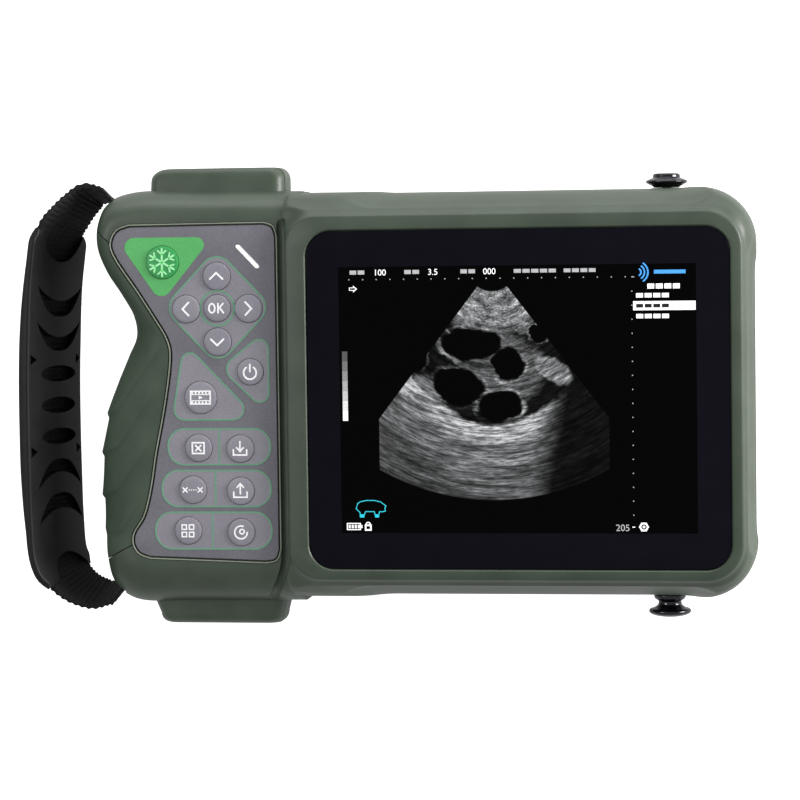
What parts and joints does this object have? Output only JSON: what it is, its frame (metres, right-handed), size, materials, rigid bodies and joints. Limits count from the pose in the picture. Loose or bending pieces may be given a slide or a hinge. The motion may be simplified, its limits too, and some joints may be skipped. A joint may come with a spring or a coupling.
{
  "type": "ultrasound scanner",
  "caption": "Hand-held veterinary ultrasound scanner: green two-shell body, dark display window, grip with pressable keypad, rubber-padded hand strap.",
  "frame": {"origin": "middle of the bounding box in plan, on the plane that the rubber feet rest on", "axes": "+X from the hand strap and grip to the display, +Y the upper edge of the picture, +Z out of the screen"},
  "size_m": [0.2418, 0.1514, 0.038],
  "materials": {
    "housing_green": "fine spark-eroded texture, satin",
    "grip_green": "matt moulded elastomer with finger steps",
    "rubber_black": "matt moulded rubber",
    "window_glass": "polished, dark",
    "lcd_black": "satin",
    "keypad_grey": "fine matt film",
    "key_lavender": "satin film with printed signs",
    "key_green": "satin film with a printed sign",
    "light_white": "clear light guide",
    "steel": "brushed",
    "board_green": "solder resist",
    "battery_black": "shrink sleeve",
    "webbing_black": "ribbed woven webbing",
    "stud_black": "gloss black"
  },
  "bodies": {
    "scanner": {"front_housing": "housing_green", "rear_housing": "housing_green", "grip_cover": "grip_green", "housing_gasket": "rubber_black", "foot_1": "rubber_black", "foot_2": "rubber_black", "foot_3": "rubber_black", "foot_4": "rubber_black", "display_window": "window_glass", "lcd_panel": "lcd_black", "lcd_bracket": "steel", "chassis_plate": "steel", "keypad_overlay": "keypad_grey", "power_light_pipe": "light_white", "keypad_board": "board_green", "main_board": "board_green", "beamformer_board": "board_green", "battery_pack": "battery_black", "cover_hinge_pin": "steel", "charge_port": "steel", "probe_socket": "stud_black", "strap_bar_upper": "steel", "strap_bar_lower": "steel", "strap_stud_upper": "stud_black", "strap_stud_lower": "stud_black", "strap_end_upper": "webbing_black", "strap_end_lower": "webbing_black", "housing_screw_1": "steel", "housing_screw_2": "steel", "housing_screw_3": "steel", "housing_screw_4": "steel"},
    "key_freeze": {"key_freeze": "key_green"},
    "key_up": {"key_up": "key_lavender"},
    "key_left": {"key_left": "key_lavender"},
    "key_ok": {"key_ok": "key_lavender"},
    "key_right": {"key_right": "key_lavender"},
    "key_down": {"key_down": "key_lavender"},
    "key_power": {"key_power": "key_lavender"},
    "key_cine": {"key_cine": "key_lavender"},
    "key_clear": {"key_clear": "key_lavender"},
    "key_save": {"key_save": "key_lavender"},
    "key_measure": {"key_measure": "key_lavender"},
    "key_output": {"key_output": "key_lavender"},
    "key_menu": {"key_menu": "key_lavender"},
    "key_obstetric": {"key_obstetric": "key_lavender"},
    "battery_cover": {"battery_cover": "housing_green"},
    "cover_lock": {"cover_lock": "steel"},
    "port_flap": {"port_flap": "rubber_black"},
    "hand_strap": {"strap_webbing": "webbing_black", "hand_pad": "rubber_black"}
  },
  "joints": [
    {"name": "key_freeze_press", "type": "slide", "parent": "scanner", "child": "key_freeze", "axis": [0, 0, -1], "range_m": [0, 0.0006], "stiffness_N_per_m": 2500},
    {"name": "key_up_press", "type": "slide", "parent": "scanner", "child": "key_up", "axis": [0, 0, -1], "range_m": [0, 0.0006], "stiffness_N_per_m": 2500},
    {"name": "key_left_press", "type": "slide", "parent": "scanner", "child": "key_left", "axis": [0, 0, -1], "range_m": [0, 0.0006], "stiffness_N_per_m": 2500},
    {"name": "key_ok_press", "type": "slide", "parent": "scanner", "child": "key_ok", "axis": [0, 0, -1], "range_m": [0, 0.0006], "stiffness_N_per_m": 2500},
    {"name": "key_right_press", "type": "slide", "parent": "scanner", "child": "key_right", "axis": [0, 0, -1], "range_m": [0, 0.0006], "stiffness_N_per_m": 2500},
    {"name": "key_down_press", "type": "slide", "parent": "scanner", "child": "key_down", "axis": [0, 0, -1], "range_m": [0, 0.0006], "stiffness_N_per_m": 2500},
    {"name": "key_power_press", "type": "slide", "parent": "scanner", "child": "key_power", "axis": [0, 0, -1], "range_m": [0, 0.0006], "stiffness_N_per_m": 2500},
    {"name": "key_cine_press", "type": "slide", "parent": "scanner", "child": "key_cine", "axis": [0, 0, -1], "range_m": [0, 0.0006], "stiffness_N_per_m": 2500},
    {"name": "key_clear_press", "type": "slide", "parent": "scanner", "child": "key_clear", "axis": [0, 0, -1], "range_m": [0, 0.0006], "stiffness_N_per_m": 2500},
    {"name": "key_save_press", "type": "slide", "parent": "scanner", "child": "key_save", "axis": [0, 0, -1], "range_m": [0, 0.0006], "stiffness_N_per_m": 2500},
    {"name": "key_measure_press", "type": "slide", "parent": "scanner", "child": "key_measure", "axis": [0, 0, -1], "range_m": [0, 0.0006], "stiffness_N_per_m": 2500},
    {"name": "key_output_press", "type": "slide", "parent": "scanner", "child": "key_output", "axis": [0, 0, -1], "range_m": [0, 0.0006], "stiffness_N_per_m": 2500},
    {"name": "key_menu_press", "type": "slide", "parent": "scanner", "child": "key_menu", "axis": [0, 0, -1], "range_m": [0, 0.0006], "stiffness_N_per_m": 2500},
    {"name": "key_obstetric_press", "type": "slide", "parent": "scanner", "child": "key_obstetric", "axis": [0, 0, -1], "range_m": [0, 0.0006], "stiffness_N_per_m": 2500},
    {"name": "battery_cover_hinge", "type": "hinge", "parent": "scanner", "child": "battery_cover", "pos_m": [-0.05834, 0.0355, 0.0025], "axis": [1, 0, 0], "range_deg": [0, 100]},
    {"name": "cover_lock_turn", "type": "hinge", "parent": "battery_cover", "child": "cover_lock", "pos_m": [-0.05834, -0.0375, 0.0025], "axis": [0, 0, 1], "range_deg": [0, 90]},
    {"name": "port_flap_hinge", "type": "hinge", "parent": "scanner", "child": "port_flap", "pos_m": [-0.05534, -0.0747, 0.0113], "axis": [1, 0, 0], "range_deg": [0, 110], "stiffness_Nm_per_rad": 0.0005},
    {"name": "hand_strap_swing", "type": "hinge", "parent": "scanner", "child": "hand_strap", "pos_m": [-0.09384, -0.0005, 0.016], "axis": [0, 1, 0], "range_deg": [-10, 25], "stiffness_Nm_per_rad": 0.3}
  ]
}
